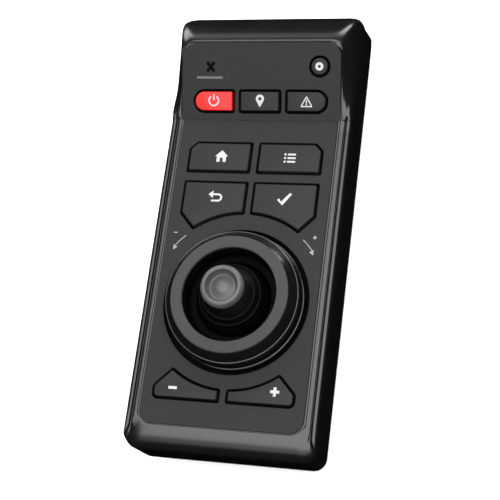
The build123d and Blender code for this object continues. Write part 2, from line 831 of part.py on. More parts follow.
# ---------------------------------------------------------------- rear cover and its inserts
cover_half = overall_width / 2 - wall - cover_clearance
cover_end = overall_length / 2 - wall - cover_clearance
groove_low = 11.4
groove_high = 13.0
with BuildPart() as rear_cover:
    with BuildSketch():
        RectangleRounded(2 * cover_half, 2 * cover_end, corner_radius - wall)
    extrude(amount=cover_height)
    fillet(rear_cover.edges().group_by(Axis.Z)[0], 2.2)
    with BuildSketch(Plane.XY.offset(cover_floor)):
        RectangleRounded(2 * cover_half - 4.4, 2 * cover_end - 4.4, 1.5)
    extrude(amount=20, mode=Mode.SUBTRACT)
    # screw bosses and insert bosses
    with BuildSketch(Plane.XY.offset(1)):
        with Locations(*screw_places):
            Circle(3.9)
    extrude(amount=column_foot - 1.2)
    with BuildSketch(Plane.XY.offset(1)):
        with Locations((0, dial_y)):
            with GridLocations(mount_spacing_x, mount_spacing_y, 2, 2):
                Circle(4.8)
    extrude(amount=7.4)
    # groove for the seal
    with BuildSketch(Plane.XY.offset(groove_low)):
        RectangleRounded(2 * cover_half + 2, 2 * cover_end + 2, corner_radius - wall)
        RectangleRounded(2 * cover_half - 1.6, 2 * cover_end - 1.6, 1.8, mode=Mode.SUBTRACT)
    extrude(amount=groove_high - groove_low, mode=Mode.SUBTRACT)
    # battery bay with its roof
    with BuildSketch(Plane.XY.offset(cover_floor - 0.2)):
        with Locations((0, (bay_low_y + bay_high_y) / 2)):
            Rectangle(2 * bay_half_width + 2.4, bay_high_y - bay_low_y + 2.4)
    extrude(amount=19.2 - cover_floor)
    with BuildSketch(Plane.XY.offset(cover_floor)):
        with Locations((0, (bay_low_y + bay_high_y) / 2)):
            Rectangle(2 * bay_half_width, bay_high_y - bay_low_y)
    extrude(amount=14.8, mode=Mode.SUBTRACT)
    with BuildSketch(Plane.XY.offset(-1)):
        with Locations((0, (bay_low_y + bay_high_y) / 2)):
            Rectangle(52.4, bay_high_y - bay_low_y - 1.6)
    extrude(amount=6, mode=Mode.SUBTRACT)
    # slideway of the battery door, open at the upper end
    with BuildSketch():
        with Locations((0, (door_low_y + 100) / 2)):
            Rectangle(58.0, 100 - door_low_y)
    extrude(amount=2.1, mode=Mode.SUBTRACT)
    with BuildSketch(Plane.XY.offset(0.9)):
        with Locations((0, (door_low_y + 100) / 2)):
            Rectangle(61.0, 100 - door_low_y)
    extrude(amount=1.2, mode=Mode.SUBTRACT)
    # holes: counterbored screws and threaded inserts
    with BuildSketch():
        with Locations(*screw_places):
            Circle(3.0)
    extrude(amount=5.0, mode=Mode.SUBTRACT)
    with BuildSketch():
        with Locations(*screw_places):
            Circle(1.7)
    extrude(amount=20, mode=Mode.SUBTRACT)
    with BuildSketch():
        with Locations((0, dial_y)):
            with GridLocations(mount_spacing_x, mount_spacing_y, 2, 2):
                Circle(3.2)
    extrude(amount=7.2, mode=Mode.SUBTRACT)
save(rear_cover.part, "rear_cover")

with BuildPart() as mount_inserts:
    with BuildSketch():
        with Locations((0, dial_y)):
            with GridLocations(mount_spacing_x, mount_spacing_y, 2, 2):
                Circle(3.2)
                Circle(mount_hole_radius, mode=Mode.SUBTRACT)
    extrude(amount=7.0)
save(mount_inserts.part, "mount_inserts")

with BuildPart() as housing_screws:
    with BuildSketch(Plane.XY.offset(3.0)):
        with Locations(*screw_places):
            Circle(2.8)
            RegularPolygon(1.3, 6, mode=Mode.SUBTRACT)
    extrude(amount=1.0)
    with BuildSketch(Plane.XY.offset(4.0)):
        with Locations(*screw_places):
            Circle(2.8)
    extrude(amount=1.0)
    with BuildSketch(Plane.XY.offset(5.0)):
        with Locations(*screw_places):
            Circle(housing_screw_radius)
    extrude(amount=19.0)
save(housing_screws.part, "housing_screws")

with BuildPart() as housing_seal:
    with BuildSketch(Plane.XY.offset(groove_low + 0.05)):
        RectangleRounded(2 * inner_half, 2 * inner_end, corner_radius - wall)
        RectangleRounded(2 * cover_half - 1.6, 2 * cover_end - 1.6, 1.8, mode=Mode.SUBTRACT)
    extrude(amount=groove_high - groove_low - 0.1)
save(housing_seal.part, "housing_seal")

# ---------------------------------------------------------------- battery door, cells and contacts
with BuildPart() as battery_door:
    with BuildSketch():
        with Locations((0, (door_low_y + door_high_y + 0.3) / 2)):
            Rectangle(57.6, door_high_y - door_low_y - 0.3)
    extrude(amount=1.9)
    with BuildSketch(Plane.XY.offset(1.1)):
        with Locations((0, (door_low_y + door_high_y + 0.3) / 2)):
            Rectangle(60.6, door_high_y - door_low_y - 0.3)
    extrude(amount=0.8)
    # thumb grip: five shallow cross grooves
    with BuildSketch():
        with Locations((0, door_low_y + 9)):
            with GridLocations(1, 2.4, 1, 5):
                SlotOverall(22, 1.2)
    extrude(amount=0.5, mode=Mode.SUBTRACT)
save(battery_door.part, "battery_door")

for name, cell_y, nub_side in (("lower_battery_cell", cell_ys[0], 1), ("upper_battery_cell", cell_ys[1], -1)):
    cell_plane = Plane(origin=(0, cell_y, cell_height), x_dir=(0, 1, 0), z_dir=(1, 0, 0))
    with BuildPart() as cell:
        with BuildSketch(cell_plane.offset(-cell_length / 2 + 0.6)):
            Circle(cell_radius)
        extrude(amount=cell_length - 1.2)
        fillet(cell.edges(), 0.6)
        with BuildSketch(cell_plane.offset(nub_side * (cell_length / 2 - 0.6))):
            Circle(2.7)
        extrude(amount=nub_side * 1.2)
    save(cell.part, name)

with BuildPart() as battery_contacts:
    for side in (-1, 1):
        with BuildSketch(Plane.YZ.offset(side * (bay_half_width - 0.4))):
            with Locations(*[(cell_y, cell_height) for cell_y in cell_ys]):
                Rectangle(12.0, 12.0)
        extrude(amount=side * 0.4)
save(battery_contacts.part, "battery_contacts")

with BuildPart() as battery_springs:
    for cell_y, side in ((cell_ys[0], -1), (cell_ys[1], 1)):
        add_coil((side * (bay_half_width - 0.75), cell_y, cell_height), (-side, 0, 0), 3.6, 0.5, 1.3, 2)
save(battery_springs.part, "battery_springs")

# ---------------------------------------------------------------- data and power socket
with BuildPart() as socket_shell:
    with BuildSketch(socket_axis):
        Circle(6.6)
    extrude(amount=-1.2)
    with BuildSketch(socket_axis.offset(-1.2)):
        Circle(5.2)
    extrude(amount=-6.4)
    with BuildSketch(socket_axis):
        Circle(socket_bore)
    extrude(amount=-socket_depth, mode=Mode.SUBTRACT)
    with BuildSketch(socket_axis.offset(-socket_depth)):
        Circle(insert_radius)
    extrude(amount=-1.6, mode=Mode.SUBTRACT)
    fillet(socket_shell.edges().group_by(Axis.Y)[-1], 0.3)
save(socket_shell.part, "socket_shell")

with BuildPart() as socket_insert:
    with BuildSketch(socket_axis.offset(-socket_depth)):
        Circle(insert_radius)
        with PolarLocations(2.2, 5):
            Circle(0.5, mode=Mode.SUBTRACT)
    extrude(amount=-1.6)
save(socket_insert.part, "socket_insert")

with BuildPart() as socket_contacts:
    with BuildSketch(socket_axis.offset(-6.3)):
        with PolarLocations(2.2, 5):
            Circle(0.5)
    extrude(amount=-1.5)
save(socket_contacts.part, "socket_contacts")

with BuildPart() as socket_nut:
    with BuildSketch(socket_axis.offset(-wall - 0.05)):
        RegularPolygon(6.4, 6, major_radius=False)
        Circle(5.2, mode=Mode.SUBTRACT)
    extrude(amount=-2.0)
save(socket_nut.part, "socket_nut")

with BuildPart() as socket_seal:
    with BuildSketch(socket_axis.offset(-1.2)):
        Circle(6.35)
        Circle(5.35, mode=Mode.SUBTRACT)
    extrude(amount=-0.45)
save(socket_seal.part, "socket_seal")
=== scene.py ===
"""The looks of a handheld remote control pad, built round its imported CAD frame.

The pad lies on its back: +X to its right, +Y towards the raised header, +Z out of the key face.
Sizes here are millimetres, and piece() turns each finished mesh into metres.
"""
import json
from math import atan2, ceil, cos, degrees, pi, radians, sin, sqrt, tan

import bmesh
import bpy
from mathutils import Euler, Matrix, Vector


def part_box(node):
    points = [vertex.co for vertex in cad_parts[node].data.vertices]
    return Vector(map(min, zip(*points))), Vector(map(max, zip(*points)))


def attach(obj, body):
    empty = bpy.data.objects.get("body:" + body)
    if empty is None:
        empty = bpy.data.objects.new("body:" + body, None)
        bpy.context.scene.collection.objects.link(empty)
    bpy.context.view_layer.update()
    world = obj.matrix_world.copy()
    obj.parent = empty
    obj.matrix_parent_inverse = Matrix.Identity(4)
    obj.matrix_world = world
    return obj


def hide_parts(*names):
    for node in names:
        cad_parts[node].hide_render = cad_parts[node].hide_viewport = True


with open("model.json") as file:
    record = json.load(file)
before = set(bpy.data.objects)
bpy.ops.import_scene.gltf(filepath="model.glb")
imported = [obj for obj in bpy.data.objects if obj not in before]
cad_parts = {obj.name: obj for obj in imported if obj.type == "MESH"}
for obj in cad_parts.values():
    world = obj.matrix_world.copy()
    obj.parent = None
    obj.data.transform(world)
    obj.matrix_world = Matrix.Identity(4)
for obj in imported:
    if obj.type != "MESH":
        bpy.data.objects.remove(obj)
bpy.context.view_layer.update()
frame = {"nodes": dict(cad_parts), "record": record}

MM = 0.001
nodes = frame["nodes"]


def node_box(name):
    """Lowest and highest corner of a CAD node, in millimetres."""
    low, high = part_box(name)
    return Vector(low) / MM, Vector(high) / MM


# ---------------------------------------------------------------- sizes read from the frame
housing_low, housing_high = node_box("front_housing")
face_low, face_high = node_box("main_faceplate")
dial_low, dial_high = node_box("dial_ring")
header_high = node_box("header_faceplate")[1]

half_width = housing_high.x
half_length = housing_high.y
rim_bottom = housing_low.z
face_z = face_high.z
face_half = face_high.x
face_bottom = face_low.y
dial_y = (dial_low.y + dial_high.y) / 2

# ---------------------------------------------------------------- driving dimensions
crease_y = 43.1               # line where the header starts to rise
header_tilt = radians(24.8)
header_step = 0.12            # height of the header plate above the main face at the crease
header_length = 30.8
header_half = header_high.x
panel_corner = 5.5            # rounded corners of both decor plates
body_corner = 5.0             # plan corners of the housing
wall = 2.4                    # thickness of the outer wall
edge_radius = 1.2             # rounded lower edge of the wall
plate = 1.4                   # thickness of the decor plates
web = 1.6                     # thickness of the housing under them
seam = 0.14                   # gap between a decor plate and the housing
plate_seat = 0.04             # gap under a decor plate
corner_fullness = 0.8         # how far the wall foot fills a square corner at the header end

post_radius, post_bore, post_foot = 3.4, 1.55, 14.5
standoff_radius, standoff_bore, standoff_length = 2.1, 1.05, 9.4
rooted = 0.2                  # how far posts and standoffs run into the web

key_gap = 1.1                 # gap round each key cap
key_height = 0.8              # height of the key caps above the face
key_edge = 0.42               # rounding of their edges
flange_grow = 0.45            # how far a key's flange reaches past its opening
flange_back = 4.0             # depths of the flange below the face
flange_front = 3.1
stem_radius = 2.0
stem_end = 7.5                # depth of a key's stem below the face

well_radius = 29.1            # well round the dial
well_floor = 3.2              # its depth below the face
well_opening = 22.0           # radius of the hole in its floor
cap_radius = 8.3
stick_top = 21.4              # height of the joystick above the main face


def main_place(x=0.0, y=0.0, height=0.0):
    """Frame of the main face, with the centre of the dial as its origin."""
    return Matrix.Translation((x, dial_y + y, face_z + height))


def header_place(x=0.0, along=0.0, height=0.0):
    """Frame of the header face, with the middle of the crease as its origin."""
    base = Matrix.Translation((0, crease_y, face_z + header_step)) @ Matrix.Rotation(header_tilt, 4, "X")
    return base @ Matrix.Translation((x, along, height))


def smooth(t):
    """0 to 1 with soft ends."""
    t = min(max(t, 0.0), 1.0)
    return t * t * (3 - 2 * t)


# ---------------------------------------------------------------- camera
camera_data = bpy.data.cameras.new("camera")
camera_data.lens = 89.05
camera_data.sensor_width = 36
camera = bpy.data.objects.new("camera", camera_data)
bpy.context.scene.collection.objects.link(camera)
camera_place = (0.1352, -0.15683, 0.4727)
camera_turn = [radians(angle) for angle in (19.5724, 14.3357, 7.4844)]
camera.matrix_world = Matrix.Translation(camera_place) @ Euler(camera_turn).to_matrix().to_4x4()
bpy.context.scene.camera = camera


# ---------------------------------------------------------------- materials
def material(name, colour, roughness, spread, grain, bump, depth, specular=0.5, metallic=0.0):
    """A procedural finish: mottled colour, uneven roughness and a fine raised grain.

    colour and roughness are mean values, spread their variation, grain the number of grains
    in a metre and depth the height of a grain in millimetres.
    """
    finish = bpy.data.materials.new(name)
    finish.use_nodes = True
    tree = finish.node_tree
    shader = tree.nodes["Principled BSDF"]
    shader.inputs["Specular IOR Level"].default_value = specular
    shader.inputs["Metallic"].default_value = metallic
    place = tree.nodes.new("ShaderNodeTexCoord")

    cloud = tree.nodes.new("ShaderNodeTexNoise")
    cloud.inputs["Scale"].default_value = grain / 9
    cloud.inputs["Detail"].default_value = 6
    tree.links.new(place.outputs["Object"], cloud.inputs["Vector"])
    ramp = tree.nodes.new("ShaderNodeValToRGB")
    ramp.color_ramp.elements[0].position = 0.3
    ramp.color_ramp.elements[1].position = 0.7
    ramp.color_ramp.elements[0].color = (*[c * (1 - spread) for c in colour], 1)
    ramp.color_ramp.elements[1].color = (*[c * (1 + spread) for c in colour], 1)
    tree.links.new(cloud.outputs["Fac"], ramp.inputs["Fac"])
    tree.links.new(ramp.outputs["Color"], shader.inputs["Base Color"])

    wear = tree.nodes.new("ShaderNodeMapRange")
    wear.inputs["To Min"].default_value = roughness * (1 - spread)
    wear.inputs["To Max"].default_value = min(roughness * (1 + spread), 1)
    tree.links.new(cloud.outputs["Fac"], wear.inputs["Value"])
    tree.links.new(wear.outputs["Result"], shader.inputs["Roughness"])

    grains = tree.nodes.new("ShaderNodeTexNoise")
    grains.inputs["Scale"].default_value = grain
    grains.inputs["Detail"].default_value = 2
    tree.links.new(place.outputs["Object"], grains.inputs["Vector"])
    relief = tree.nodes.new("ShaderNodeBump")
    relief.inputs["Strength"].default_value = bump
    relief.inputs["Distance"].default_value = depth * MM
    tree.links.new(grains.outputs["Fac"], relief.inputs["Height"])
    tree.links.new(relief.outputs["Normal"], shader.inputs["Normal"])
    return finish


def grey(value):
    """A neutral colour."""
    return (value, value, value)


# colour, roughness, spread, grain, bump, depth, then specular level and metallic where not usual
finish_rows = {
    "gloss_shell": (grey(0.004), 0.24, 0.1, 700, 0.05, 0.01),
    "rear_shell": (grey(0.012), 0.55, 0.2, 1800, 0.5, 0.06),
    "face_plate": (grey(0.0155), 0.6, 0.06, 2600, 0.25, 0.03, 0.12),
    "key_top": (grey(0.0135), 0.5, 0.06, 2600, 0.2, 0.02, 0.16),
    "red_key": ((0.45, 0.007, 0.006), 0.42, 0.05, 2600, 0.15, 0.02, 0.3),
    "dial_gloss": (grey(0.003), 0.2, 0.1, 700, 0.05, 0.01),
    "soft_ring": (grey(0.032), 0.65, 0.06, 2400, 0.35, 0.03, 0.15),
    "soft_cap": (grey(0.048), 0.42, 0.08, 2200, 0.3, 0.03, 0.45),
    "boot": (grey(0.0012), 0.45, 0.15, 1600, 0.3, 0.03, 0.045),
    # painted shade: inner plastic is set near black with almost no gloss, standing for the shade that falls
    # in the well, the key gaps and inside the dial
    "inner_plastic": (grey(0.0015), 0.6, 0.15, 1200, 0.3, 0.04, 0.02),
    "gimbal_metal": (grey(0.42), 0.35, 0.1, 1500, 0.2, 0.01, 0.5, 1),
    "spring_steel": (grey(0.5), 0.28, 0.1, 1500, 0.2, 0.01, 0.5, 1),
    "board": ((0.012, 0.085, 0.035), 0.4, 0.25, 900, 0.4, 0.05),
    "chip": (grey(0.018), 0.5, 0.15, 2200, 0.3, 0.02),
    "shield": (grey(0.6), 0.32, 0.08, 1300, 0.2, 0.01, 0.5, 1),
    "antenna_ceramic": ((0.55, 0.5, 0.42), 0.5, 0.1, 1500, 0.3, 0.02),
    "silicone": (grey(0.1), 0.6, 0.1, 1600, 0.3, 0.03),
    "screw_steel": (grey(0.45), 0.3, 0.12, 1700, 0.2, 0.01, 0.5, 1),
    "insert_brass": ((0.72, 0.5, 0.2), 0.33, 0.1, 1500, 0.3, 0.02, 0.5, 1),
    "cell_wrap": ((0.03, 0.09, 0.2), 0.35, 0.12, 900, 0.1, 0.02),
    "flex": ((0.5, 0.2, 0.03), 0.4, 0.15, 900, 0.2, 0.02),
    "lamp_clear": (grey(0.006), 0.35, 0.1, 700, 0.1, 0.01, 0.2),
    # painted shade: the bush is set near black with almost no gloss, standing for the shade deep inside the
    # dial
    "bush": (grey(0.002), 0.6, 0.08, 1400, 0.2, 0.02, 0.02),
    "socket_metal": (grey(0.4), 0.28, 0.1, 1500, 0.2, 0.01, 0.5, 1),
    "legend_paint": (grey(0.33), 0.6, 0.05, 2000, 0.15, 0.01, 0.3),
    "turn_paint": (grey(0.2), 0.6, 0.08, 2000, 0.15, 0.01, 0.2),
    "faint_paint": (grey(0.085), 0.6, 0.08, 2000, 0.15, 0.01, 0.2),
    "dark_paint": (grey(0.002), 0.5, 0.1, 2000, 0.15, 0.01, 0.02),
}
finishes = {name: material(name, *row) for name, row in finish_rows.items()}

slot_of = {part["node"]: part["material_slot"] for part in frame["record"]["subparts"]}
for node_name, node in nodes.items():
    node.data.materials.clear()
    node.data.materials.append(finishes[slot_of[node_name]])


# ---------------------------------------------------------------- mesh building
def raw_mesh(vertices, faces):
    """A plain mesh from its points and faces."""
    mesh = bpy.data.meshes.new("raw")
    mesh.from_pydata([tuple(v) for v in vertices], [], faces)
    return mesh


def piece(name, meshes, finish, body, node=None, sharp=35):
    """Joins meshes into one finished piece that rides on a body, and may stand for a CAD node."""
    build = bmesh.new()
    for mesh in meshes:
        build.from_mesh(mesh)
        bpy.data.meshes.remove(mesh)
    bmesh.ops.remove_doubles(build, verts=build.verts, dist=0.002)
    bmesh.ops.dissolve_degenerate(build, edges=build.edges, dist=0.0005)
    bmesh.ops.recalc_face_normals(build, faces=build.faces)
    joined = bpy.data.meshes.new(name)
    build.to_mesh(joined)
    build.free()
    joined.transform(Matrix.Scale(MM, 4))
    joined.shade_smooth()
    joined.set_sharp_from_angle(angle=radians(sharp))
    joined.materials.append(finishes[finish])
    made = bpy.data.objects.new(name, joined)
    bpy.context.scene.collection.objects.link(made)
    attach(made, body)
    if node:
        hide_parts(node)


def plate_mesh(loops, low, high, place, edge=0.0):
    """A flat plate from low to high over its plane. The first loop is its outline, the others holes."""
    curve = bpy.data.curves.new("plate", "CURVE")
    curve.dimensions = "2D"
    curve.fill_mode = "BOTH"
    for loop in loops:
        spline = curve.splines.new("POLY")
        spline.points.add(len(loop) - 1)
        for point, (x, y) in zip(spline.points, loop):
            point.co = (x, y, 0, 1)
        spline.use_cyclic_u = True
    curve.extrude = (high - low) / 2 - edge
    curve.bevel_depth = edge
    curve.bevel_resolution = 3
    curve.offset = -edge
    holder = bpy.data.objects.new("plate", curve)
    mesh = bpy.data.meshes.new_from_object(holder)
    bpy.data.objects.remove(holder)
    bpy.data.curves.remove(curve)
    mesh.transform(place @ Matrix.Translation((0, 0, (low + high) / 2)))
    return mesh


def lathe_mesh(profile, place, steps=144, closed=True):
    """A profile of (radius, height) points turned round the axis of place."""
    vertices = []
    for step in range(steps):
        turn = 2 * pi * step / steps
        vertices += [(r * cos(turn), r * sin(turn), z) for r, z in profile]
    count = len(profile)
    faces = []
    for step in range(steps):
        here = step * count
        there = (step + 1) % steps * count
        for k in range(count if closed else count - 1):
            following = (k + 1) % count
            faces.append((here + k, there + k, there + following, here + following))
    mesh = raw_mesh(vertices, faces)
    mesh.transform(place)
    return mesh


def tube_mesh(outer, inner, low, high, place, steps=40):
    """A round column with a bore."""
    return lathe_mesh([(inner, low), (outer, low), (outer, high), (inner, high)], place, steps)


# ---------------------------------------------------------------- outlines
def arc(x, y, radius, start, end, step=6):
    """Points on an arc, angles in degrees."""
    count = max(2, ceil(abs(end - start) / step))
    angles = [radians(start + (end - start) * k / count) for k in range(count + 1)]
    return [(x + radius * cos(a), y + radius * sin(a)) for a in angles]


def rounded(corners):
    """An outline from (x, y, radius) corners, each rounded to its radius."""
    points = []
    count = len(corners)
    for k, (x, y, radius) in enumerate(corners):
        if not radius:
            points.append((x, y))
            continue
        here = Vector((x, y))
        back = (Vector(corners[k - 1][:2]) - here).normalized()
        ahead = (Vector(corners[(k + 1) % count][:2]) - here).normalized()
        half = back.angle(ahead) / 2
        centre = here + (back + ahead).normalized() * radius / sin(half)
        reach = radius / tan(half)
        first = here + back * reach - centre
        last = here + ahead * reach - centre
        start = atan2(first.y, first.x)
        sweep = (atan2(last.y, last.x) - start + pi) % (2 * pi) - pi
        points += arc(centre.x, centre.y, radius, degrees(start), degrees(start + sweep), 9)
    return points


def grown(loop, amount):
    """A loop moved outwards by amount, or inwards where it is negative."""
    area = sum(a[0] * b[1] - b[0] * a[1] for a, b in zip(loop, loop[1:] + loop[:1]))
    side = 1 if area > 0 else -1
    moved = []
    for before, here, after in zip(loop[-1:] + loop[:-1], loop, loop[1:] + loop[:1]):
        a = (Vector(here) - Vector(before)).normalized()
        b = (Vector(after) - Vector(here)).normalized()
        normal = Vector((a.y + b.y, -a.x - b.x)).normalized()
        lean = max(normal.dot(Vector((a.y, -a.x))), 0.5)
        moved.append((here[0] + side * normal.x * amount / lean, here[1] + side * normal.y * amount / lean))
    return moved


def mirrored(loop, side):
    """A right-hand loop, turned over to the left where side is -1."""
    return [(side * x, y) for x, y in loop]


def upper_key(side):
    """Upper pair of keys: a rectangle with its outer top corner cut off."""
    left, right, low, high, cut = 1.1, 27.9, 52.7, 66.4, 3.2
    corners = [(left, low), (right, low), (right, high - cut), (right - cut, high), (left, high)]
    return mirrored(rounded([(x, y, 1.5) for x, y in corners]), side)


def shoulder_key(side):
    """Keys above the dial: square outer corner, slanted lower side and an arc round the dial."""
    radius, left, right, top = 35.4, 0.95, 27.9, 49.4
    tip = (21.4, 28.2)
    near = degrees(atan2(sqrt(radius ** 2 - left ** 2), left))
    far = degrees(atan2(tip[1], tip[0]))
    sweep = arc(0, 0, radius, near, far, 2.8)
    corners = [(*sweep[0], 1.5), *[(x, y, 0) for x, y in sweep[1:-1]], (*tip, 1.5)]
    corners += [(right, 35.1, 1.5), (right, top, 1.5), (left, top, 1.5)]
    return mirrored(rounded(corners), side)


def step_key(side):
    """Keys below the dial: an arc round the dial on top and a rounded outer end."""
    radius, left, right, bottom = 34.4, 1.1, 28.2, -40.1
    tip = (21.1, -27.2)
    near = degrees(atan2(-sqrt(radius ** 2 - left ** 2), left))
    far = degrees(atan2(tip[1], tip[0]))
    sweep = arc(0, 0, radius, near, far, 2.8)
    corners = [(*sweep[0], 1.5), *[(x, y, 0) for x, y in sweep[1:-1]], (*tip, 1.5)]
    corners += [(right, -34.6, 2.6), (right, bottom, 2.6), (left, bottom, 1.5)]
    return mirrored(rounded(corners), side)


def bar_key(left, right, round_end=0):
    """Header bar keys; round_end -1 or 1 makes that end a half circle."""
    low, high = 2.7, 12.5
    end = (high - low) / 2 - 0.05
    left_radius = end if round_end < 0 else 1.5
    right_radius = end if round_end > 0 else 1.5
    corners = [(left, low, left_radius), (right, low, right_radius)]
    corners += [(right, high, right_radius), (left, high, left_radius)]
    return rounded(corners)


def round_key(x, y, radius):
    """A round key."""
    return arc(x, y, radius, 0, 360 - 6)


power_at = (24.4, 21.5)
lamp_at = (-13.4, 17.1)
main_keys = {
    "home_key": (upper_key(-1), (-14.5, 59.5)),
    "menu_key": (upper_key(1), (14.5, 59.5)),
    "back_key": (shoulder_key(-1), (-14.5, 43.0)),
    "select_key": (shoulder_key(1), (14.5, 43.0)),
    "minus_key": (step_key(-1), (-18.5, -36.4)),
    "plus_key": (step_key(1), (18.5, -36.4)),
}
header_keys = {
    "standby_key": (bar_key(-28.15, -10.4, -1), (-19.0, 7.6)),
    "mark_key": (bar_key(-8.95, 8.95), (0.0, 7.6)),
    "alert_key": (bar_key(10.4, 28.15, 1), (19.0, 7.6)),
    "power_key": (round_key(*power_at, 4.4), power_at),
}


# ---------------------------------------------------------------- front housing
def bezier(p0, p1, p2, p3, count):
    """Points on a cubic curve of (across, drop) pairs."""
    points = []
    for k in range(count):
        t = k / (count - 1)
        a, b, c, d = (1 - t) ** 3, 3 * t * (1 - t) ** 2, 3 * t * t * (1 - t), t ** 3
        points.append(tuple(a * w + b * x + c * y + d * z for w, x, y, z in zip(p0, p1, p2, p3)))
    return points


def flat(points):
    """Profile points with no lift of their own."""
    return [(across, drop, 0.0) for across, drop in points]


# Each profile runs from the edge of the decor plate to the wall: how far across, how far down
# between the two (both 0 to 1) and a lift in millimetres. All start with a narrow recess.
bottom_profile = [(0.0, 0.0, -0.2), (0.01, 0.0, -0.3), (0.03, 0.0, -0.3), (0.045, 0.0, -0.05)]
bottom_profile += flat(bezier((0.06, 0.0), (0.5, 0.03), (1.0, 0.3), (1.0, 1.0), 18))
bevel_profile = [(0.0, 0.0, -0.2), (0.02, 0.0, -0.3), (0.06, 0.0, -0.3), (0.08, 0.0, -0.05)]
bevel_profile += flat(bezier((0.1, 0.0), (0.66, 0.05), (1.0, 0.36), (1.0, 1.0), 18))
top_profile = [(0.0, 0.0, -0.2), (0.01, 0.0, -0.3), (0.03, 0.0, -0.3), (0.04, 0.0, -0.05)]
top_profile += flat(bezier((0.05, 0.0), (0.3, 0.0), (0.85, 0.42), (1.0, 1.0), 18))
groove_profile = [
    (0.00, 0.00, -0.20), (0.02, 0.00, -0.35), (0.11, 0.00, -0.35), (0.13, 0.00, -0.10), (0.15, 0.00, 0.00),
    (0.20, 0.00, 0.03), (0.27, 0.00, 0.03), (0.34, 0.00, 0.00), (0.41, 0.00, -0.06), (0.455, 0.00, -0.16),
    (0.475, 0.00, -0.55), (0.49, 0.00, -0.78), (0.52, 0.00, -0.76), (0.56, 0.00, -0.50), (0.60, 0.00, -0.16),
    (0.65, 0.00, 0.00), (0.75, 0.005, 0.02), (0.86, 0.02, 0.02), (0.93, 0.07, 0.0), (0.97, 0.18, 0.0),
    (0.99, 0.40, 0.0), (1.0, 1.0, 0.0),
]
shoulder_profile = [
    (0.00, 0.00, -0.20), (0.02, 0.00, -0.30), (0.06, 0.00, -0.30), (0.09, 0.00, -0.08), (0.13, 0.00, 0.02),
    (0.18, 0.00, 0.06), (0.26, 0.00, 0.08), (0.34, 0.00, 0.06), (0.41, 0.00, 0.04), (0.45, 0.00, 0.02),
    (0.475, 0.00, 0.01), (0.49, 0.00, 0.0), (0.52, 0.00, 0.0), (0.60, 0.005, 0.0), (0.70, 0.01, 0.0),
    (0.76, 0.015, 0.0), (0.81, 0.03, 0.0), (0.87, 0.06, 0.0), (0.93, 0.11, 0.0), (0.97, 0.21, 0.0),
    (0.99, 0.40, 0.0), (1.0, 1.0, 0.0),
]
bottom_foot, side_foot, bevel_foot, top_foot = 28.8, 28.8, 27.6, 28.4


def mix(first, second, share):
    """One profile or number turned into another by share."""
    if isinstance(first, list):
        return [tuple(mix(a, b, share) for a, b in zip(p, q)) for p, q in zip(first, second)]
    return first * (1 - share) + second * share


def station(edge, foot, normal, profile, foot_z, splay=0.0):
    """One closed section of the housing wall, from the plate seat over the rim to the inner wall.

    splay is how far the lower end of the wall leans outwards.
    """
    edge = Vector(edge)
    section = []
    for across, drop, lift in profile:
        x = mix(edge.x, foot[0], across)
        y = mix(edge.y, foot[1], across)
        section.append((x, y, mix(edge.z, foot_z, drop) + lift))
    outward = Vector((*normal, 0))
    wall_foot = Vector((*foot, 0))
    inner = wall_foot - outward * wall
    heights = (foot_z - 4, (foot_z + rim_bottom) / 2, rim_bottom + edge_radius + 1)
    for share, height in zip((0, 0.5, 1), heights):
        point = wall_foot + outward * splay * share
        section.append((point.x, point.y, height))
    for step in range(6):
        turn = radians(90 * step / 5)
        point = wall_foot + outward * (splay - edge_radius * (1 - cos(turn)))
        section.append((point.x, point.y, rim_bottom + edge_radius * (1 - sin(turn))))
    section.append((inner.x, inner.y, rim_bottom))
    section.append((inner.x, inner.y, foot_z - 3))
    ledge = 1.5
    seat = edge - outward * ledge
    section.append((seat.x, seat.y, edge.z - plate - web))
    section.append((seat.x, seat.y, edge.z - plate))
    section.append((edge.x, edge.y, edge.z - plate))
    return section


